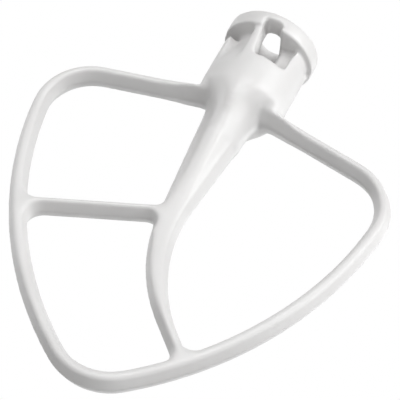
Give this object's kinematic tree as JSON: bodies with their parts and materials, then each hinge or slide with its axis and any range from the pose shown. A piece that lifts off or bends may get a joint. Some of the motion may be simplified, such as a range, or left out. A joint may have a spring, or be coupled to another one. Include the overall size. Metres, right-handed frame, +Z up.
{
  "type": "stand mixer flat beater",
  "caption": "Open flat paddle cast in one piece with a hub that locks onto a mixer's shaft, white coated, with a slanted crossbar and a curved rib.",
  "frame": {"origin": "centre of the shaft bore's mouth, on top of the hub", "axes": "+Z up along the hub and the shaft bore, X across the paddle, -Y to the front, where the pin's window opens; the paddle lies in the XZ plane"},
  "size_m": [0.1604, 0.0412, 0.1875],
  "materials": {
    "coating": "white baked coating, satin gloss, over cast aluminium"
  },
  "bodies": {
    "root": {"flat_beater": "coating"}
  },
  "joints": []
}
